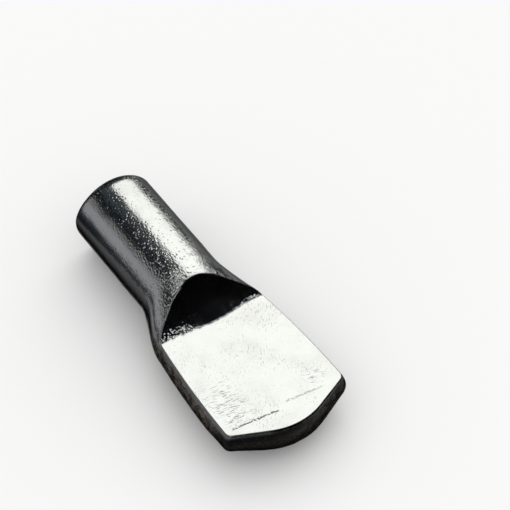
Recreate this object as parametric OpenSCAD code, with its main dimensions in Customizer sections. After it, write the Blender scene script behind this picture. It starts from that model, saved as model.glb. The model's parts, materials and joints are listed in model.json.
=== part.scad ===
// Spoon-style shelf support pin: a round steel peg with one end cold-forged into a flat paddle.
// The peg points along +Y from the cabinet wall, and the paddle lies along -Y with its seat facing +Z.
// The origin is on the peg's axis, in the plane where the neck leaves the wall.

/* [Peg] */
// Diameter of the peg
peg_d = 6.25; // [4.5:0.05:8]
// Straight length of the peg, from the wall to its free end
peg_len = 8.8; // [6:0.1:14]
// Radius that rounds the peg's free end
peg_end_r = 0.25; // [0.2:0.05:1.2]

/* [Neck] */
// Length of the neck, from the wall to the crease at the foot of the shoulder
neck_len = 4.7; // [4:0.1:8]
// Length over which the shoulder climbs from the crease to the height of the peg
shoulder_run = 2.6; // [1.8:0.1:3.4]
// Angle that the shoulder's hollow turns through, half of it either side of its chord
shoulder_turn = 26; // [10:2:50]
// How far the top of the neck sinks below the top of the peg
arch_sink = 0.8; // [0.4:0.05:1.1]
// Part of the neck, from the wall, before its top starts to sink
arch_from = 0.2; // [0:0.05:0.4]
// Part of the neck, from the wall, by which its top has sunk
arch_to = 0.8; // [0.6:0.05:1]
// Part of the neck, from the wall, by which it is widest as low as the paddle is
widest_by = 0.3; // [0.2:0.05:1]
// Part of the neck, from the wall, before its underside starts to rise
under_from = 0.5; // [0:0.05:0.6]

/* [Paddle] */
// Length of the seat, from the crease to the middle of its tip
seat_len = 10.75; // [8.5:0.1:18]
// Width of the seat at the crease
seat_root_w = 8.45; // [7.5:0.05:11]
// Width of the seat at its tip corners
seat_tip_w = 9.45; // [8:0.05:13]
// How far each long side bows out beyond a straight line
side_bow = 0.13; // [0:0.01:0.4]
// Angle at which the tip falls back on each side of its nose
tip_fall = 24; // [12:1:32]
// Radius of the nose in the middle of the tip
nose_r = 5; // [3:0.1:8]
// Radius of each tip corner
corner_r = 0.5; // [0.3:0.1:1.4]
// Thickness of the paddle
paddle_t = 2.2; // [1.8:0.05:2.8]
// How far below the seat the paddle is widest
widest_drop = 1; // [0.7:0.05:1.3]
// Height of the seat above the peg's axis
seat_rise = 0.35; // [0:0.05:0.8]
// Width of the round under the paddle's edge
under_round = 0.35; // [0.2:0.05:0.8]

/* [Resolution] */
// Facets round one quarter of a section
quarter_facets = 10; // [6:1:12]
// Stations along the neck, from the wall to the top of the shoulder
neck_steps = 14; // [8:1:18]
// Stations down the shoulder, from its top to the crease
shoulder_steps = 18; // [10:1:20]
// Stations along each long side of the paddle
side_steps = 8; // [4:1:12]

/* [Hidden] */
$fn = 96;
// The forged end starts this much inside the peg's outline, so that it meets the peg face to face
peg_step = 0.01;
// Steps round each tip corner
corner_steps = 6;
// Steps round each half of the nose
nose_steps = 7;

peg_r = peg_d / 2;
blank_r = peg_r - peg_step;
crease_y = -neck_len;
seat_tip_y = crease_y - seat_len;
underside_z = seat_rise - paddle_t;
widest_z = seat_rise - widest_drop;

// The hollow shoulder: an arc from the crease up to the top of the peg, seen from the side
shoulder_rise = peg_r - seat_rise;
chord_len = norm([shoulder_run, shoulder_rise]);
chord_angle = atan2(shoulder_rise, shoulder_run);
shoulder_r = chord_len / 2 / sin(shoulder_turn / 2);
foot_angle = chord_angle - shoulder_turn / 2;
shoulder_cy = crease_y - shoulder_r * sin(foot_angle);
shoulder_cz = seat_rise + shoulder_r * cos(foot_angle);

// The punched surface seen from the side: the seat, the hollow shoulder, then clear of the peg
function punch_z(y) =
    y <= crease_y ? seat_rise
    : y >= crease_y + shoulder_run ? peg_r
    : shoulder_cz - sqrt(pow(shoulder_r, 2) - pow(y - shoulder_cy, 2));
// Where the shoulder stands at height z
function shoulder_y(z) = shoulder_cy + sqrt(pow(shoulder_r, 2) - pow(shoulder_cz - z, 2));

function mix(a, b, t) = a + (b - a) * t;
function ease(t) = t * t * (3 - 2 * t);
// How far the forging has gone at y, between two parts of the neck: 0 towards the peg, 1 towards the paddle
function forged(y, from = 0, to = 1) = ease(min(1, max(0, (-y / neck_len - from) / (to - from))));
// Top of the neck before the punch
function arch_z(y) = blank_r - arch_sink * forged(y, arch_from, arch_to);

// The edge of the seat seen from above: a bowed side, a round corner, a straight fall and a round nose
nose_cy = seat_tip_y + nose_r;
nose_x = nose_r * sin(tip_fall);
nose_y = nose_cy - nose_r * cos(tip_fall);
// Centre of the corner, whose arc runs from square with the side to square with the fall
corner_cx = seat_tip_w / 2 - corner_r;
corner_cy = nose_y + (corner_cx - nose_x) * tan(tip_fall) + corner_r / cos(tip_fall);

function side_half(y) =
    let (t = (crease_y - y) / (crease_y - corner_cy))
    mix(seat_root_w, seat_tip_w, t) / 2 + side_bow * 4 * t * (1 - t);

seat_edge = concat(
    [for (i = [1 : side_steps])
        let (y = mix(crease_y, corner_cy, i / side_steps))
        [side_half(y), y]],
    [for (i = [1 : corner_steps])
        let (a = (90 - tip_fall) * i / corner_steps)
        [corner_cx + corner_r * cos(a), corner_cy - corner_r * sin(a)]],
    [for (i = [0 : nose_steps - 1])
        let (a = tip_fall * (1 - i / nose_steps))
        [nose_r * sin(a), nose_cy - nose_r * cos(a)]]
);

// Half sections stand on a spine along the middle, which stops short of the tip so that they fan
// round its end
fan_y = seat_tip_y + seat_tip_w / 2;
function spine_y(p) = max(p.y, fan_y);

// Before the punch a section's upper half is an elliptic arch. Its share of the reach at the level
// of the seat sets how far the paddle's edge is barrelled.
edge_share = sqrt(1 - pow(widest_drop / (blank_r - arch_sink - widest_z), 2));
function barrelled(p) = [p.x, p.y - spine_y(p)] / edge_share + [0, spine_y(p)];
// Reach at the nose. The underside's flat keeps within it, so that the round widens under each corner.
tip_reach = seat_tip_w / 2 / edge_share;

// Stations down the shoulder start just above its edge, and crowd there, where it runs across the neck
edge_z = arch_z(crease_y + shoulder_run);
edge_y = shoulder_y(edge_z);
neck_y = concat(
    [for (i = [0 : neck_steps - 1]) edge_y * i / neck_steps],
    [for (i = [0 : shoulder_steps])
        shoulder_y(mix(seat_rise, edge_z, cos(90 * i / shoulder_steps)))]
);

// The widest outline of the forged end, from the wall round the tip and back to the wall
half_outline = concat(
    [for (y = neck_y) [mix(blank_r, seat_root_w / 2 / edge_share, forged(y)), y]],
    [for (p = seat_edge) barrelled(p)]
);
outline = concat(
    half_outline,
    [barrelled([0, seat_tip_y])],
    [for (i = [len(half_outline) - 1 : -1 : 0]) [-half_outline[i].x, half_outline[i].y]]
);

// The half section at outline point q, as [share of the reach, height] pairs from top to bottom
function half_section(q) =
    let (
        y = spine_y(q),
        reach = norm([q.x, q.y - y]),
        centre_z = widest_z * forged(y, 0, widest_by),
        high = arch_z(y) - centre_z,
        low = centre_z - mix(-blank_r, underside_z, forged(y, under_from)),
        top_angle = asin(min(1, (punch_z(y) - centre_z) / high)),
        top_z = centre_z + high * sin(top_angle),
        flat = forged(y) * (min(reach, tip_reach) - under_round) / reach
    )
    concat(
        [[0, top_z]],
        [for (i = [0 : quarter_facets])
            let (a = top_angle * (1 - i / quarter_facets))
            [cos(a), centre_z + high * sin(a)]],
        [for (i = [1 : quarter_facets])
            let (a = 90 * i / quarter_facets)
            [flat + (1 - flat) * cos(a), centre_z - low * sin(a)]],
        [[0, centre_z - low]]
    );

section_len = len(half_section(outline[0]));

// The forged end: the half sections swept round the outline and skinned
module forged_end() {
    count = len(outline);
    points = [for (q = outline)
        for (s = half_section(q))
            [q.x * s[0], mix(spine_y(q), q.y, s[0]), s[1]]];
    skin = [for (k = [0 : count - 2]) for (j = [0 : section_len - 2])
        let (a = k * section_len + j, b = a + section_len)
        each [[a, a + 1, b + 1], [a, b + 1, b]]];
    last = (count - 1) * section_len;
    wall_end = concat(
        [for (j = [section_len - 1 : -1 : 0]) j],
        [for (j = [1 : section_len - 2]) last + j]
    );
    polyhedron(points, concat(skin, [wall_end]), convexity = 4);
}

// The peg: turned true, with its free end rounded over
module peg() {
    rotate([-90, 0, 0])
        rotate_extrude()
            union() {
                square([peg_r, peg_len - peg_end_r]);
                square([peg_r - peg_end_r, peg_len]);
                translate([peg_r - peg_end_r, peg_len - peg_end_r])
                    intersection() {
                        circle(peg_end_r);
                        square(peg_end_r);
                    }
            }
}

module support_pin() {
    color([0.80, 0.80, 0.78])
        union() {
            peg();
            forged_end();
        }
}

support_pin();
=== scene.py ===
"""Looks of a spoon-style shelf support pin: one piece of nickel-plated steel on a plain pale floor."""

import json
import math

import bpy
import numpy as np
from mathutils import Matrix, Vector


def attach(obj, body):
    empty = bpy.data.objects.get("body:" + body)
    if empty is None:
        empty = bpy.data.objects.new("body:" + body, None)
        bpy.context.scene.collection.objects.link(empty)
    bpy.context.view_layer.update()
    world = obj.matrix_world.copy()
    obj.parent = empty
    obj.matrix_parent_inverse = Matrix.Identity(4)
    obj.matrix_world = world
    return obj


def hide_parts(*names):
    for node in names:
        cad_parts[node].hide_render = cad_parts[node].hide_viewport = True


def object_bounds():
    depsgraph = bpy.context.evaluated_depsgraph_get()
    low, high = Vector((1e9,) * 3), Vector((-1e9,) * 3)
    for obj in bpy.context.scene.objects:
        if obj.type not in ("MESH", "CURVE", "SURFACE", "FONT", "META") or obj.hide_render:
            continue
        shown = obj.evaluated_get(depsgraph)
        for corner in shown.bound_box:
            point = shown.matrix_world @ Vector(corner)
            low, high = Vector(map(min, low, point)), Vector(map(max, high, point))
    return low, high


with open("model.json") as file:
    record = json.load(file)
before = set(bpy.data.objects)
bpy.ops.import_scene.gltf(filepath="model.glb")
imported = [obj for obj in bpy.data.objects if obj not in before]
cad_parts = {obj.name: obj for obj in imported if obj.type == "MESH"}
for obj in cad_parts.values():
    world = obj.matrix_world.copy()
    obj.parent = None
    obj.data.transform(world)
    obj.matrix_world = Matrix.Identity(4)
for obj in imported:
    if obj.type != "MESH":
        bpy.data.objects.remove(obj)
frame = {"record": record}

cad_low, cad_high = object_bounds()

MM = 0.001
PIN = "support_pin"

# Sizes in millimetres and angles in degrees. The peg and the seat are the frame's, and the others
# are those of the CAD model.
mounts = {mount["name"]: mount for mount in frame["record"]["mounts"]}
PEG_R = cad_high.z / MM
PEG_LEN = cad_high.y / MM
SEAT_Z = mounts["shelf_seat"]["pos_m"][2] / MM
NECK_LEN = 4.7
SHOULDER_RUN = 2.6
SHOULDER_TURN = 26
ARCH_SINK, ARCH_FROM, ARCH_TO = 0.8, 0.2, 0.8
WIDEST_BY = 0.3
UNDER_FROM = 0.5
SEAT_LEN = 10.75
SEAT_ROOT_W = 8.45
SEAT_TIP_W = 9.45
SIDE_BOW = 0.13
TIP_FALL = 24
NOSE_R = 5
CORNER_R = 0.5
PADDLE_T = 2.2
WIDEST_DROP = 1
UNDER_ROUND = 0.35

# What the CAD model leaves plain. The peg's free end is rounded more at its top than underneath, and
# the round runs further along the peg than it goes in.
END_ROUND_TOP, END_ROUND_UNDER, END_ROUND_STRETCH = 0.42, 0.06, 2.5
# The rim and the crease are rounded where the two surfaces that meet there are this near in height
EDGE_SOFT, CREASE_SOFT = 0.11, 0.12
# How far the crease is bowed, and how far up the shoulder its bow and its waver fade out
CREASE_BOW, BOW_FADE, WAVER_FADE = 0.33, 2.6, 0.5
# Share of the peg's roundness that the neck's top keeps, and the places between which that fades out
NECK_CROWN, CROWN_FADE = 0.5, (-2.6, -4.6)
# Slope of the underside, which makes the paddle thicker on its right than on its left
UNDER_SLANT = 0.028
# Shallow dimples and broader waves in the whole skin, and how much of them the seat lacks
DIMPLE_SIZE, DIMPLE_DEPTH = 0.42, 0.012
WAVE_SIZE, WAVE_DEPTH = 1.3, 0.02
SEAT_FLATNESS = 0.85

# Points of each half section above and below its widest place, thinned out from finer lines
UPPER_POINTS = 88
LOWER_POINTS = 34
FINE_POINTS = 500
# Half sections over the face, the round and the side of the peg, then along each part of the seat's edge
PEG_FACE_STEPS, PEG_ROUND_STEPS, PEG_SIDE_STEPS = 11, 12, 66
CREASE_STEPS, SIDE_STEPS, CORNER_STEPS, FALL_STEPS, NOSE_POINTS = 12, 84, 14, 32, 34
# Stretches of the neck from the wall to the crease, each with where it ends and its steps
NECK_STRETCHES = ((-1.9, 18), (-4.2, 46), (-NECK_LEN, 12))

CREASE_Y = -NECK_LEN
TIP_Y = CREASE_Y - SEAT_LEN
UNDERSIDE_Z = SEAT_Z - PADDLE_T
WIDEST_Z = SEAT_Z - WIDEST_DROP
FALL = math.radians(TIP_FALL)


def mix(a, b, share):
    return a + (b - a) * share


def ease(t):
    t = np.clip(t, 0, 1)
    return t * t * (3 - 2 * t)


def step(value, start, end):
    """0 at start and 1 at end, with a smooth rise between them."""
    return ease((value - start) / (end - start))


def soft_min(a, b, width):
    """The lower of a and b, rounded over where they cross."""
    share = np.clip(0.5 + 0.5 * (b - a) / width, 0, 1)
    return mix(b, a, share) - width * share * (1 - share)


def soft_max(a, b, width):
    return -soft_min(-a, -b, width)


def bump_at(x, centre, width):
    """1 at the centre, falling off smoothly on both sides of it."""
    return np.exp(-(((x - centre) / width) ** 2))


def lattice_noise(points, size, seed):
    """Smooth noise from 0 to 1 whose grains are about size across."""
    count = 32
    lattice = np.random.default_rng(seed).random((count, count, count))
    place = points / size
    cell = np.floor(place).astype(int)
    part = place - cell
    part = part * part * (3 - 2 * part)
    value = np.zeros(len(points))
    for corner in np.ndindex(2, 2, 2):
        x, y, z = ((cell + corner) % count).T
        share = np.where(corner, part, 1 - part).prod(axis=1)
        value += share * lattice[x, y, z]
    return value


# The forged end, by the CAD model's formulas

def forged(y, start=0, end=1):
    """How far the forging has gone at y: 0 towards the peg, 1 towards the paddle."""
    return ease((-y / NECK_LEN - start) / (end - start))


def arch_z(y):
    return PEG_R - ARCH_SINK * forged(y, ARCH_FROM, ARCH_TO)


SHOULDER_RISE = PEG_R - SEAT_Z
FOOT_ANGLE = math.atan2(SHOULDER_RISE, SHOULDER_RUN) - math.radians(SHOULDER_TURN / 2)
SHOULDER_R = math.hypot(SHOULDER_RUN, SHOULDER_RISE) / 2 / math.sin(math.radians(SHOULDER_TURN / 2))
SHOULDER_CY = CREASE_Y - SHOULDER_R * math.sin(FOOT_ANGLE)
SHOULDER_CZ = SEAT_Z + SHOULDER_R * math.cos(FOOT_ANGLE)


def past_crease(x, y):
    """How far y lies from the crease towards the peg. The crease is bowed towards the tip in its
    middle and wavers, and both fade up the shoulder."""
    up = y - CREASE_Y
    bow = 0.12 - CREASE_BOW * bump_at(x, 0.2, 2) - 0.02 * x
    waver = 0.02 * np.sin(4.1 * x) * np.sin(1.7 * x + 1) + 0.012 * np.sin(9.3 * x + 2)
    return up - bow * ease(1 - up / BOW_FADE) - waver * ease(1 - up / WAVER_FADE)


def punch_z(x, y):
    """The punched surface: the seat, then the hollow shoulder up and over the neck."""
    along = np.clip(past_crease(x, y) + CREASE_Y - SHOULDER_CY, -SHOULDER_R, SHOULDER_R * 0.999)
    shoulder = SHOULDER_CZ - np.sqrt(SHOULDER_R**2 - np.maximum(along, 0) ** 2)
    return soft_max(shoulder, SEAT_Z, CREASE_SOFT)


EDGE_SHARE = math.sqrt(1 - (WIDEST_DROP / (PEG_R - ARCH_SINK - WIDEST_Z)) ** 2)
TIP_REACH = SEAT_TIP_W / 2 / EDGE_SHARE
FAN_Y = TIP_Y + SEAT_TIP_W / 2


def seat_edge():
    """The right half of the seat's edge seen from above, from the crease to the nose."""
    nose_cy = TIP_Y + NOSE_R
    nose_x, nose_y = NOSE_R * math.sin(FALL), nose_cy - NOSE_R * math.cos(FALL)
    corner_cx = SEAT_TIP_W / 2 - CORNER_R
    corner_cy = nose_y + (corner_cx - nose_x) * math.tan(FALL) + CORNER_R / math.cos(FALL)
    y = np.concatenate([
        np.linspace(CREASE_Y, CREASE_Y - 0.5, CREASE_STEPS, endpoint=False),
        np.linspace(CREASE_Y - 0.5, corner_cy, SIDE_STEPS, endpoint=False),
    ])
    t = (CREASE_Y - y) / (CREASE_Y - corner_cy)
    side = np.stack([mix(SEAT_ROOT_W, SEAT_TIP_W, t) / 2 + SIDE_BOW * 4 * t * (1 - t), y], 1)
    turn = np.linspace(0, math.pi / 2 - FALL, CORNER_STEPS, endpoint=False)
    corner = np.stack([corner_cx + CORNER_R * np.cos(turn), corner_cy - CORNER_R * np.sin(turn)], 1)
    fall_start = np.array([corner_cx + CORNER_R * math.sin(FALL), corner_cy - CORNER_R * math.cos(FALL)])
    t = np.linspace(0, 1, FALL_STEPS, endpoint=False)[:, None]
    fall = mix(fall_start, np.array([nose_x, nose_y]), t)
    turn = np.linspace(FALL, 0, NOSE_POINTS)
    nose = np.stack([NOSE_R * np.sin(turn), nose_cy - NOSE_R * np.cos(turn)], 1)
    return np.concatenate([side, corner, fall, nose])


def half_outline():
    """The widest outline's right half, from the wall to the nose."""
    stretches = []
    start = 0
    for end, steps in NECK_STRETCHES:
        stretches.append(np.linspace(start, end, steps, endpoint=False))
        start = end
    y = np.concatenate(stretches)
    neck = np.stack([mix(PEG_R, SEAT_ROOT_W / 2 / EDGE_SHARE, forged(y)), y], 1)
    edge = seat_edge()
    spine = np.maximum(edge[:, 1], FAN_Y)
    edge[:, 0] /= EDGE_SHARE
    edge[:, 1] = (edge[:, 1] - spine) / EDGE_SHARE + spine
    return np.concatenate([neck, edge])


def resample(line, weight, count):
    """count points along a line of fine points, closer together where the weight is higher."""
    strides = np.linalg.norm(np.diff(line, axis=0), axis=1) * (weight[1:] + weight[:-1]) / 2
    travelled = np.concatenate([[0], np.cumsum(strides)])
    at = np.linspace(0, travelled[-1], count)
    return np.stack([np.interp(at, travelled, column) for column in line.T], 1)


def half_section(q):
    """Points down the half section at outline point q, from the middle of its top to the middle of
    its underside."""
    y = max(q[1], FAN_Y)
    reach = math.hypot(q[0], q[1] - y)
    aim = np.array([q[0], q[1] - y]) / reach
    centre_z = WIDEST_Z * forged(y, 0, WIDEST_BY)
    high = arch_z(y) - centre_z
    low = centre_z - mix(-PEG_R, UNDERSIDE_Z, forged(y, UNDER_FROM))
    flat = forged(y) * (min(reach, TIP_REACH) - UNDER_ROUND)

    # The neck keeps some of the peg's roundness at its top, and spreads lower down
    round_reach = math.sqrt(high * PEG_R)
    spread = NECK_CROWN * (1 - step(y, *CROWN_FADE)) * (reach - round_reach)
    angle = np.linspace(math.pi / 2, 0, FINE_POINTS)
    out = (reach - spread) * np.cos(angle) + spread * np.cos(angle) ** 3
    arch = centre_z + high * np.sin(angle)
    punched = punch_z(out * aim[0], y + out * aim[1])
    top = np.stack([out, soft_min(arch, punched, EDGE_SOFT)], 1)
    closer_at_rim = 1 + 2.5 * bump_at(arch - punched, 0, 0.25)
    upper = resample(top, closer_at_rim, UPPER_POINTS)

    angle = np.linspace(0, math.pi / 2, FINE_POINTS)
    side = np.stack([flat + (reach - flat) * np.cos(angle), centre_z - low * np.sin(angle)], 1)
    middle = np.array([[0, centre_z - low]])
    under = np.concatenate([side, mix(side[-1:], middle, np.linspace(0, 1, FINE_POINTS)[1:, None])])
    lower = resample(under, np.ones(len(under)), LOWER_POINTS + 1)[1:]

    section = np.concatenate([upper, lower])
    return np.stack([section[:, 0] * aim[0], y + section[:, 0] * aim[1], section[:, 1]], 1)


def peg_sections():
    """Half sections from the middle of the peg's free end to the wall."""
    side = np.concatenate([
        np.linspace(math.pi / 2, 0, UPPER_POINTS),
        np.linspace(0, -math.pi / 2, LOWER_POINTS + 1)[1:],
    ])
    across, up = np.cos(side), np.sin(side)
    end_round = mix(END_ROUND_UNDER, END_ROUND_TOP, ease(up))
    sections = []
    for share in np.linspace(0, 1, PEG_FACE_STEPS, endpoint=False):
        out = (PEG_R - end_round) * share
        sections.append((out, np.full_like(out, PEG_LEN)))
    for turn in np.linspace(0, math.pi / 2, PEG_ROUND_STEPS, endpoint=False):
        out = PEG_R - end_round * (1 - math.sin(turn))
        sections.append((out, PEG_LEN - end_round * END_ROUND_STRETCH * (1 - math.cos(turn))))
    side_len = PEG_LEN - end_round * END_ROUND_STRETCH
    for t in np.linspace(0, 1, PEG_SIDE_STEPS, endpoint=False):
        sections.append((np.full_like(side, PEG_R), side_len * (1 - t)))
    return [np.stack([out * across, y, out * up], 1) for out, y in sections]


def skin():
    """Points and faces of the whole closed skin, with its left half the right half's mirror image."""
    right = np.array(peg_sections() + [half_section(q) for q in half_outline()])
    # The two halves share the points of the middle line and of the nose
    right[-1, :, 0] = 0
    right[:, 0, 0] = right[:, -1, 0] = 0
    left = right[-2::-1] * [-1, 1, 1]
    grid = np.concatenate([right, left])
    rows, columns = grid.shape[:2]
    points = grid.reshape(-1, 3)
    _, first, place = np.unique(np.round(points, 5), axis=0, return_index=True, return_inverse=True)
    place = place.reshape(rows, columns)
    faces = []
    for row in range(rows - 1):
        for column in range(columns - 1):
            corners = [place[row, column], place[row, column + 1],
                       place[row + 1, column + 1], place[row + 1, column]]
            ring = list(dict.fromkeys(int(c) for c in reversed(corners)))
            if len(ring) > 2:
                faces.append(ring)
    return points[first], faces


def new_mesh(name, points, faces):
    mesh = bpy.data.meshes.new(name)
    mesh.from_pydata(points.tolist(), [], faces)
    mesh.validate()
    mesh.update()
    return mesh


def normals_of(mesh):
    values = np.zeros(len(mesh.vertices) * 3)
    mesh.vertices.foreach_get("normal", values)
    return values.reshape(-1, 3)


def set_attribute(mesh, name, values):
    attribute = mesh.attributes.new(name, "FLOAT", "POINT")
    attribute.data.foreach_set("value", np.asarray(values, np.float32))


def wear_bands(x, y, seat):
    """How strong the pits and the peel are. They strengthen towards the paddle, in bands along the
    pin, and are even on the seat."""
    worked = mix(0.6, 1.3, step(y, 7, -3))
    worked *= 1 - 0.4 * bump_at(x, 0.45, 0.8) + 0.8 * bump_at(x, -1.15, 0.5)
    worked += 0.7 * bump_at(x, -1.9, 0.9) * step(y, 0.5, -1.5) + 0.7 * bump_at(x, 1.75, 0.35)
    worked += 0.8 * bump_at(x, -1.2, 0.6) * bump_at(y, -2, 0.8)
    return mix(worked, 0.6, seat)


def areas_by_place(x, y, z):
    """Where each kind of surface lies, by its name: 0 outside it and 1 inside. "dark" is the share of
    the metal's grains that are dark, and "worked" the strength of the pits and the peel."""
    gap = z - punch_z(x, y)
    off_crease = past_crease(x, y)
    on_punch = step(gap, -0.14, -0.04) * (y < 0)
    seat = on_punch * step(off_crease, 0.05, -0.05)

    # How far up the shoulder the torn metal reaches. It reaches a fifth as far over the seat, and its
    # dark share rises from none there, through half at the crease, to all up the shoulder.
    ragged = 0.12 + 0.68 * step(x, -0.7, -2.2) + 0.25 * step(x, 2, 3)
    up_shoulder = mix(0.5, 1.05, step(off_crease, 0, ragged))
    over_seat = 0.5 * step(off_crease, -ragged / 5, 0)
    dark = np.where(off_crease > 0, up_shoulder, over_seat)
    # More is dark at the crease's left end
    dark += 0.2 * step(x, -3.2, -3.8) * step(off_crease, -0.1, 0)

    near_rim = step(gap, -0.12, -0.06) * step(gap, 0, -0.02)
    return {
        "seat": seat,
        "hollow": on_punch - seat,
        "dark": dark,
        # The rim carries a burr in relief and a painted highlight in colour
        "rim": near_rim * step(off_crease, 0, 0.3) * step(x, -0.8, -1.8),
        # Painted shade along the seat's rounded rim
        "edge": 4 * on_punch * (1 - on_punch) * step(off_crease, 0, -0.3),
        "flank": (1 - on_punch) * forged(y, 0.5, 1) * step(z, SEAT_Z + 0.05, SEAT_Z - 0.35),
        # Painted shade: the flank darkens towards the tip, more at the left
        "tip": step(y, -11.5, -13.7) * mix(1, 0.5, step(x, -3, 4.5)),
        "worked": wear_bands(x, y, seat),
    }


def areas_by_slope(normals, flank):
    """Where the skin faces sideways, where it is the peg's free end, and where it faces down or
    towards that end: "side", "end" and "low"."""
    _, ny, nz = normals.T
    end = step(ny, 0.8, 0.95)
    # low, like side, marks where the colour is darkened as painted shade
    low = np.maximum(step(nz, 0.46, 0.26), step(ny, 0.25, 0.55))
    return {"side": step(nz, 0.88, 0.72), "end": end, "low": low * (1 - flank) * (1 - 0.7 * end)}


def slanted(points):
    """The points with the paddle's underside slanted."""
    x, y, z = points.T
    centre_z = WIDEST_Z * forged(np.maximum(y, FAN_Y), 0, WIDEST_BY)
    lowered = UNDER_SLANT * x * forged(y, UNDER_FROM) * step(z, centre_z, centre_z - 0.8)
    return np.stack([x, y, z - lowered], 1)


def build_pin():
    points, faces = skin()
    areas = areas_by_place(*points.T)
    points = slanted(points)
    mesh = new_mesh("pin", points * MM, faces)
    normals = normals_of(mesh)
    areas.update(areas_by_slope(normals, areas["flank"]))

    depth = DIMPLE_DEPTH * lattice_noise(points, DIMPLE_SIZE, seed=1)
    depth += WAVE_DEPTH * lattice_noise(points, WAVE_SIZE, seed=3)
    depth *= 1 - SEAT_FLATNESS * areas["seat"]
    points -= normals * depth[:, None]
    mesh.vertices.foreach_set("co", (points * MM).ravel())
    mesh.update()
    mesh.polygons.foreach_set("use_smooth", [True] * len(mesh.polygons))
    for name, values in areas.items():
        set_attribute(mesh, name, values)
    pin = bpy.data.objects.new("pin", mesh)
    bpy.context.scene.collection.objects.link(pin)
    return pin


# Materials. Places and heights are in millimetres.

NICKEL = (0.612, 0.625, 0.592, 1)
STAINED_NICKEL = (0.575, 0.58, 0.55, 1)
# Painted shade: the sides and the underside are darker in colour, standing in for the dark surroundings and
# the shadowed floor that they mirror
SIDE_PAINTED_SHADE = (0.295, 0.3, 0.305, 1)
UNDERSIDE_PAINTED_SHADE = (0.09, 0.09, 0.093, 1)
# The paddle's flanks: a forge rind, made darker still as painted shade, near black at the tip
RIND_AND_SHADE = (0.14, 0.13, 0.115, 1)
SHADED_RIND_AT_TIP = (0.012, 0.0117, 0.011, 1)
RIND_BLOTCH = (0.016, 0.013, 0.011, 1)
SHEARED_STEEL = (0.12, 0.12, 0.122, 1)
# Painted shade: a dark line along the seat's rounded rim
EDGE_PAINTED_SHADE = (0.05, 0.033, 0.02, 1)
# Painted shade on the punched hollow and on the torn grains at the crease
HOLLOW_PAINTED_SHADE = (0.28, 0.29, 0.32, 1)
# Painted highlight: a lighter colour along the hollow's left rim, whose burr is relief
RIM_PAINTED_HIGHLIGHT = (0.75, 0.75, 0.73, 1)
SPECK = (0.2, 0.19, 0.18, 1)
SCRATCH = (0.07, 0.067, 0.06, 1)
GRAZING_TINT = (0.18, 0.175, 0.17, 1)
FLOOR_COLOUR = (0.965, 0.965, 0.96, 1)
PEEL_SIZE, PEEL_HEIGHT = 0.15, 0.02
PIT_SIZE, PIT_DEPTH = 0.19, 0.022
BURR_SIZE, BURR_HEIGHT, RIND_HEIGHT = 0.1, 0.16, 0.03
SHEAR_HEIGHT = 0.04
MARK_DEPTH = 0.003
LEDGE_SIZE = 0.085
# Where along the pin the press line's lengths start, and their slope
PRESS_LINE_Y, PRESS_LINE_SLOPE = -13.5, -0.1


class Recipe:
    """A node material in the making, with short calls for the nodes that it uses."""

    def __init__(self, name):
        self.material = bpy.data.materials.new(name)
        self.material.use_nodes = True
        self.tree = self.material.node_tree
        self.tree.nodes.clear()
        self.areas = {}

    def add(self, kind, inputs=None, **settings):
        """A new node. Each input is a socket to link or a value to set, by its name or number."""
        return add_node(self.tree, kind, inputs, **settings)

    def calc(self, operation, *values):
        return self.add("ShaderNodeMath", dict(enumerate(values)), operation=operation).outputs[0]

    def times(self, *values):
        total = values[0]
        for value in values[1:]:
            total = self.calc("MULTIPLY", total, value)
        return total

    def plus(self, *values):
        total = values[0]
        for value in values[1:]:
            total = self.calc("ADD", total, value)
        return total

    def rest_of(self, value):
        return self.calc("SUBTRACT", 1.0, value)

    def area(self, name):
        """The mesh attribute of that name, looked up once."""
        if name not in self.areas:
            self.areas[name] = self.add("ShaderNodeAttribute", attribute_name=name).outputs["Fac"]
        return self.areas[name]

    def step(self, value, start, end):
        """0 at start and 1 at end, with a smooth rise between them."""
        inputs = {"Value": value, "From Min": start, "From Max": end}
        return self.add("ShaderNodeMapRange", inputs, interpolation_type="SMOOTHSTEP").outputs["Result"]

    def within(self, value, low, high, soft):
        """1 between low and high, with soft ends."""
        above_low = self.step(value, low - soft, low + soft)
        below_high = self.step(value, high + soft, high - soft)
        return self.times(above_low, below_high)

    def dimples(self, place, size):
        """Round dimples of unequal depths, scattered about size apart: 1 in the middle of the deepest."""
        cells = self.add("ShaderNodeTexVoronoi", {"Vector": place, "Scale": 1 / size}).outputs
        depth = self.step(cells["Color"], 0.25, 0.75)
        return self.times(self.step(cells["Distance"], 0.55, 0.0), depth)

    def noise(self, place, size, detail=2.0):
        inputs = {"Vector": place, "Scale": 1 / size, "Detail": detail}
        return self.add("ShaderNodeTexNoise", inputs).outputs["Fac"]

    def streaks(self, place, turn, length, width, sharpness):
        """Short streaks at an angle from the x axis, which cover less as sharpness rises."""
        inputs = {"Vector": place, "Rotation": (0, 0, math.radians(turn)), "Scale": (length, width, length)}
        along = self.add("ShaderNodeMapping", inputs, vector_type="TEXTURE").outputs[0]
        return self.step(self.noise(along, 1, 1), sharpness, sharpness + 0.08)

    def tint(self, share, a, b):
        """Colour a where the share is 0, and colour b where it is 1."""
        node = self.add("ShaderNodeMix", data_type="RGBA")
        set_input(self.tree, node.inputs[0], share)
        set_input(self.tree, node.inputs[6], a)
        set_input(self.tree, node.inputs[7], b)
        return node.outputs[2]

    def finish(self, shader):
        self.add("ShaderNodeOutputMaterial", {"Surface": shader.outputs[0]})
        return self.material


def set_input(tree, socket, value):
    if isinstance(value, bpy.types.NodeSocket):
        tree.links.new(value, socket)
    else:
        socket.default_value = value


def add_node(tree, kind, inputs=None, **settings):
    node = tree.nodes.new(kind)
    for name, value in settings.items():
        setattr(node, name, value)
    for key, value in (inputs or {}).items():
        set_input(tree, node.inputs[key], value)
    return node


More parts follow.
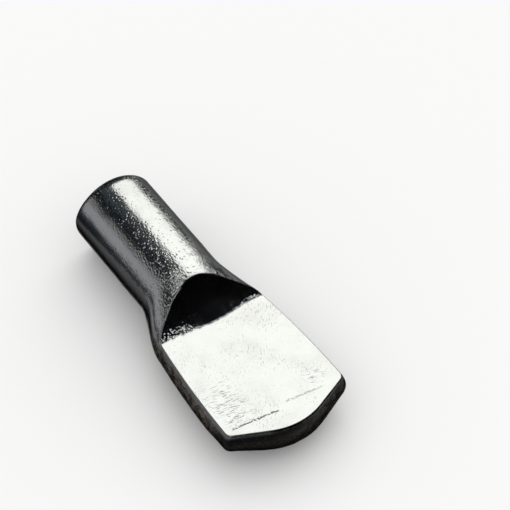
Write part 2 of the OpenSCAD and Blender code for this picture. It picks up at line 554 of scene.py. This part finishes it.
def seat_marks(r, place):
    """Scratches, flecks and the press line on the seat: 0 where it is clean, 1 where it is marked."""
    sway = r.add("ShaderNodeTexNoise", {"Vector": place, "Scale": 0.6, "Detail": 1.0}).outputs["Color"]
    sway = r.add("ShaderNodeVectorMath", {0: sway, 1: (0.5, 0.5, 0.5)}, operation="SUBTRACT").outputs[0]
    sway = r.add("ShaderNodeVectorMath", {0: sway, "Scale": 0.6}, operation="SCALE").outputs[0]
    swayed = r.add("ShaderNodeVectorMath", {0: place, 1: sway}, operation="ADD").outputs[0]
    x, y, _ = r.add("ShaderNodeSeparateXYZ", {0: place}).outputs

    # Scratches lie in two patches near the tip, and flecks all over
    left = r.times(r.within(x, -4.3, -2.0, 0.5), r.within(y, -13.6, -9.6, 0.8))
    right = r.times(r.within(x, 2.4, 3.8, 0.4), r.within(y, -13.3, -12.0, 0.4))
    fine = r.streaks(swayed, -14, 0.5, 0.05, 0.6)
    scratches = r.times(fine, r.calc("MAXIMUM", left, right), 0.8)

    patches = r.step(r.noise(place, 2.4, 1), 0.42, 0.62)
    flecks = r.times(r.streaks(place, 62, 0.35, 0.09, 0.6), patches, 0.4)

    # The press line comes in two lengths, each with its left end nearer to the crease
    broken = r.step(r.noise(place, 0.13, 2), 0.38, 0.5)
    waver = r.times(r.calc("SUBTRACT", r.noise(place, 0.35, 4), 0.5), 0.35)
    lengths = []
    for start, end, strength in ((-4.1, -0.6, 1.0), (0.2, 3.1, 0.5)):
        height = r.plus(r.times(r.calc("SUBTRACT", x, start), PRESS_LINE_SLOPE), PRESS_LINE_Y, waver)
        off_line = r.calc("ABSOLUTE", r.calc("SUBTRACT", y, height), 0.0)
        lengths.append(r.times(r.step(off_line, 0.1, 0.045), r.within(x, start, end, 0.1), strength))
    line = r.times(r.plus(*lengths), broken)
    return r.calc("MAXIMUM", r.calc("MAXIMUM", scratches, flecks), line)


def torn_ledges(r, place, hollow):
    """Where the punch tore the metal at the crease, small ledges stand out of the shoulder's foot,
    most of them about as level as the seat. Gives which grains of the metal are level and how high
    they stand."""
    cells = r.add("ShaderNodeTexVoronoi", {"Vector": place, "Scale": 1 / LEDGE_SIZE}).outputs
    middle = cells["Position"]
    offset = r.add("ShaderNodeVectorMath", {0: place, 1: middle}, operation="SUBTRACT").outputs[0]
    _, along, _ = r.add("ShaderNodeSeparateXYZ", {0: offset}).outputs
    pick, tilt, _ = r.add("ShaderNodeSeparateXYZ", {0: cells["Color"]}).outputs
    level = r.step(r.calc("SUBTRACT", pick, r.area("dark")), -0.02, 0.0)
    return level, r.times(along, level, hollow, r.plus(r.times(tilt, -0.7), -0.45))


def plate_colour(r, place, grain, level, marks):
    """Colour of the plate and of what covers or shows through it, with painted shade on the sides, the
    underside, the flanks, the tip, the hollow and the seat's rim, and a painted highlight on the hollow's
    left rim.
    """
    stain = r.step(r.noise(place, 2.2, 4), 0.4, 0.7)
    specks = r.step(r.noise(place, 0.14, 3), 0.64, 0.72)
    blotches = r.plus(r.times(r.noise(place, 0.6, 3), 0.5), r.times(r.noise(place, 0.15, 2), 0.5))
    # Painted shade on the flanks over a forge rind, darkest at the tip
    rind_and_shade = r.tint(r.area("tip"), RIND_AND_SHADE, SHADED_RIND_AT_TIP)
    rind_and_shade = r.tint(r.times(r.step(blotches, 0.4, 0.58), 0.85), rind_and_shade, RIND_BLOTCH)
    # Painted shade on the hollow and on the torn grains that are not level
    hollow_shade = r.times(r.plus(r.area("seat"), r.area("hollow")), r.rest_of(level), 0.92)

    colour = r.tint(stain, NICKEL, STAINED_NICKEL)
    # Painted shade on the sides and the underside
    colour = r.tint(r.area("side"), colour, SIDE_PAINTED_SHADE)
    colour = r.tint(r.times(r.area("low"), 0.9), colour, UNDERSIDE_PAINTED_SHADE)
    colour = r.tint(r.times(r.area("flank"), 0.95), colour, rind_and_shade)
    colour = r.tint(r.times(r.area("end"), r.noise(grain, 1, 4)), colour, SHEARED_STEEL)
    colour = r.tint(r.times(r.area("edge"), 0.95), colour, EDGE_PAINTED_SHADE)
    colour = r.tint(hollow_shade, colour, HOLLOW_PAINTED_SHADE)
    # Painted highlight on the hollow's left rim
    colour = r.tint(r.times(r.area("rim"), 0.6), colour, RIM_PAINTED_HIGHLIGHT)
    colour = r.tint(r.times(specks, 0.3), colour, SPECK)
    return r.tint(r.times(marks, 0.9), colour, SCRATCH)


def plate_height(r, place, grain, ledges, marks):
    """Height of the fine relief in millimetres."""
    seat, hollow, rim, flank = r.area("seat"), r.area("hollow"), r.area("rim"), r.area("flank")
    rougher = r.times(r.area("worked"), r.plus(1.0, r.times(r.area("side"), -0.6)))
    peel = r.times(r.noise(place, PEEL_SIZE, 1), rougher, PEEL_HEIGHT)
    pits = r.times(r.dimples(place, PIT_SIZE), rougher, -PIT_DEPTH)
    calm = r.calc("MAXIMUM", r.times(seat, 0.9), r.times(hollow, 0.7))
    rough_height = r.plus(r.times(rim, BURR_HEIGHT), r.times(flank, RIND_HEIGHT))
    burr = r.times(r.noise(place, BURR_SIZE, 2), rough_height)
    shear = r.times(r.noise(grain, 1, 3), r.area("end"), SHEAR_HEIGHT)
    pitted = r.times(r.plus(peel, pits), r.rest_of(calm))
    return r.plus(pitted, ledges, shear, burr, r.times(marks, -MARK_DEPTH))


def nickel_plate():
    r = Recipe("nickel_plate")
    coordinates = r.add("ShaderNodeTexCoord").outputs["Object"]
    place = r.add("ShaderNodeVectorMath", {0: coordinates, "Scale": 1 / MM}, operation="SCALE").outputs[0]
    # The shears leave upright grain on the peg's end
    grain = r.add("ShaderNodeVectorMath", {0: place, 1: (4, 0, 0.7)}, operation="MULTIPLY").outputs[0]
    marks = r.times(seat_marks(r, place), r.area("seat"))
    level, ledges = torn_ledges(r, place, r.area("hollow"))

    colour = plate_colour(r, place, grain, level, marks)
    height = plate_height(r, place, grain, ledges, marks)
    smudges = r.times(r.noise(place, 1.1, 4), 0.1)
    rough = r.plus(0.15, smudges, r.times(r.area("flank"), 0.15), r.times(r.area("end"), 0.12))
    bump = r.add("ShaderNodeBump", {"Height": height, "Distance": MM, "Strength": 1.0})
    return r.finish(r.add("ShaderNodeBsdfPrincipled", {
        "Base Color": colour, "Roughness": rough, "Metallic": 1.0, "Normal": bump.outputs[0],
        "Specular Tint": GRAZING_TINT,
    }))


def floor_material():
    r = Recipe("pale_floor")
    return r.finish(r.add("ShaderNodeBsdfDiffuse", {"Color": FLOOR_COLOUR}))


def card_material(name, tone):
    """A card of one even tone. The further it is below a tone of 0.1, the bluer it is."""
    cool = 0.4 * max(0, 1 - tone / 0.1)
    colour = (tone * (1 - cool), tone, tone * (1 + cool), 1)
    r = Recipe(name)
    return r.finish(r.add("ShaderNodeEmission", {"Color": colour, "Strength": 1.0}))


# The studio. Lengths are in metres, but the camera's distance, lens and sensor are in millimetres.

FLOOR_HALF = 3.0
WORLD_STRENGTH = 0.86
SUN_STRENGTH, SUN_SPREAD = 0.62, math.radians(60)
TOWARDS_SUN = Vector((0.549, 0.547, 0.632))
SOFTBOX_WIDTH, SOFTBOX_LENGTH, SOFTBOX_RADIANCE = 0.48, 0.55, 1.6
SOFTBOX_PLACE, SOFTBOX_TURN = (0.262, 0.165, 0.302), math.radians(41)
CARD_STEPS = 24
# How far the floor cards run out, as a multiple of the view's reach from its middle
FLOOR_CARD_REACH = 20
CAMERA_AZIMUTH, CAMERA_ELEVATION, CAMERA_ROLL = (math.radians(a) for a in (-33.168, 48.445, -0.509))
CAMERA_DISTANCE = 182.24
# From the middle of the pin to where the camera aims
CAMERA_AIM_SHIFT = Vector((5.827, 2.204, 0.35)) * MM
CAMERA_LENS, CAMERA_SENSOR = 180.3, 36


def add_stage(name, points, faces, material):
    mesh = bpy.data.meshes.new(name)
    mesh.from_pydata(points, [], faces)
    mesh.materials.append(material)
    piece = bpy.data.objects.new(name, mesh)
    bpy.context.scene.collection.objects.link(piece)
    return piece


def add_floor():
    size, z = FLOOR_HALF, cad_low.z
    corners = [(-size, -size, z), (size, -size, z), (size, size, z), (-size, size, z)]
    add_stage("floor", corners, [(0, 1, 2, 3)], floor_material())


def only_reflected(card):
    """Reflections show the card, and nothing else does."""
    card.visible_camera = card.visible_diffuse = card.visible_shadow = False


def add_flat_card(name, tone, corners):
    only_reflected(add_stage(name, corners, [(0, 1, 2, 3)], card_material(name, tone)))


def add_floor_cards(tone):
    """Cards on the floor all round, just out of the camera's view."""
    camera = bpy.context.scene.camera
    half = camera.data.sensor_width / 2
    inner = []
    for x, y in ((-half, -half), (half, -half), (half, half), (-half, half)):
        ray = camera.matrix_world.to_3x3() @ Vector((x, y, -camera.data.lens))
        place = camera.location + ray * ((cad_low.z - camera.location.z) / ray.z)
        inner.append(place)
    middle = sum(inner, Vector()) / 4
    lift = Vector((0, 0, 0.05)) * MM
    for i in range(4):
        a, b = inner[i], inner[(i + 1) % 4]
        far_a = middle + (a - middle) * FLOOR_CARD_REACH
        far_b = middle + (b - middle) * FLOOR_CARD_REACH
        add_flat_card(f"floor_card_{i}", tone, [a + lift, b + lift, far_b + lift, far_a + lift])


def add_card(name, tone, turn_from, turn_to, along_from, along_to, radius=0.3):
    """A card bent round the pin's axis, between two angles in degrees from straight up towards the
    right, and between two places along the pin."""
    points, faces = [], []
    for i in range(CARD_STEPS + 1):
        turn = math.radians(mix(turn_from, turn_to, i / CARD_STEPS))
        for y in (along_from, along_to):
            points.append((radius * math.sin(turn), y, radius * math.cos(turn)))
    for i in range(CARD_STEPS):
        faces.append((2 * i, 2 * i + 1, 2 * i + 3, 2 * i + 2))
    only_reflected(add_stage(name, points, faces, card_material(name, tone)))


def add_cards():
    """What the metal mirrors besides the softbox, each with its tone."""
    add_card("dark_over", 0.01, -52, -24, -0.25, 0.6)
    add_card("dim_over", 0.05, -24, 6, -0.25, 0.6)
    add_card("pale_over", 1.1, -26, -6, -0.1, 0.03, 0.28)
    # Grey at the left, which fades towards the top
    fade_steps, fade_width, left_tone = 5, 4, 0.75
    for i in range(fade_steps):
        tone = left_tone * (i + 1) / fade_steps
        top = -52 - fade_width * i
        add_card(f"grey_left_{i}", tone, top - fade_width, top, -0.3, 0.6)
    add_card("grey_left", left_tone, -90, -72, -0.3, 0.6)
    add_card("dark_right", 0.04, 76, 90, -0.1, 0.6)
    add_card("dark_corner", 0.01, 52, 78, -0.15, 0.11, 0.28)
    add_card("dark_far", 0.01, -90, 88, 0.54, 3.0)
    add_card("behind_softbox", 0.0, -5, 88, -0.32, 0.9, 0.5)
    upright = [(-0.12, -0.3, 0.0), (0.45, -0.3, 0.0), (0.45, -0.3, 0.5), (-0.12, -0.3, 0.5)]
    add_flat_card("dark_front", 0.0, upright)
    add_floor_cards(0.05)
    # Two greys on the floor at the left, the darker one beside the pin
    front, back = -0.05, 0.3
    z = cad_low.z + 0.1 * MM
    for i, (tone, far, near) in enumerate(((0.62, -0.3, -0.045), (0.3, -0.045, -0.024))):
        corners = [(far, front, z), (near, front, z), (near, back, z), (far, back, z)]
        add_flat_card(f"grey_floor_{i}", tone, corners)


def add_lamps():
    """A broad soft sun lights the scene, and the metal mirrors a softbox."""
    sun = bpy.data.lights.new("sun", "SUN")
    sun.energy = SUN_STRENGTH
    sun.angle = SUN_SPREAD
    lamp = bpy.data.objects.new("sun", sun)
    lamp.rotation_mode = "QUATERNION"
    lamp.rotation_quaternion = TOWARDS_SUN.to_track_quat("Z", "Y")
    lamp.visible_glossy = False
    bpy.context.scene.collection.objects.link(lamp)

    box = bpy.data.lights.new("softbox", "AREA")
    box.shape = "RECTANGLE"
    box.size, box.size_y = SOFTBOX_WIDTH, SOFTBOX_LENGTH
    box.energy = math.pi * SOFTBOX_WIDTH * SOFTBOX_LENGTH * SOFTBOX_RADIANCE
    lamp = bpy.data.objects.new("softbox", box)
    lamp.location = SOFTBOX_PLACE
    lamp.rotation_euler = (0, SOFTBOX_TURN, 0)
    lamp.visible_camera = lamp.visible_diffuse = False
    bpy.context.scene.collection.objects.link(lamp)


def add_world():
    world = bpy.data.worlds.new("studio")
    world.use_nodes = True
    tree = world.node_tree
    tree.nodes.clear()
    shader = add_node(tree, "ShaderNodeBackground", {"Color": (1, 1, 1, 1), "Strength": WORLD_STRENGTH})
    add_node(tree, "ShaderNodeOutputWorld", {"Surface": shader.outputs[0]})
    bpy.context.scene.world = world


def add_camera():
    """The camera looks down along the pin from its left. It aims to the right of the pin's middle."""
    azimuth, elevation, roll = CAMERA_AZIMUTH, CAMERA_ELEVATION, CAMERA_ROLL
    back = Vector((math.sin(azimuth) * math.cos(elevation), -math.cos(azimuth) * math.cos(elevation),
                   math.sin(elevation)))
    level = Vector((math.cos(azimuth), math.sin(azimuth), 0))
    upward = back.cross(level)
    right = level * math.cos(roll) + upward * math.sin(roll)
    up = upward * math.cos(roll) - level * math.sin(roll)
    aim = (cad_low + cad_high) / 2 + CAMERA_AIM_SHIFT
    data = bpy.data.cameras.new("camera")
    data.sensor_width, data.lens = CAMERA_SENSOR, CAMERA_LENS
    data.clip_start, data.clip_end = 0.01, 10
    camera = bpy.data.objects.new("camera", data)
    turned = Matrix((right, up, back)).transposed().to_4x4()
    camera.matrix_world = Matrix.Translation(aim + back * CAMERA_DISTANCE * MM) @ turned
    bpy.context.scene.collection.objects.link(camera)
    bpy.context.scene.camera = camera
    bpy.context.view_layer.update()


pin = build_pin()
pin.data.materials.append(nickel_plate())
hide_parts(PIN)
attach(pin, "root")

add_camera()
add_floor()
add_cards()
add_lamps()
add_world()
bpy.context.scene.view_settings.view_transform = "Standard"
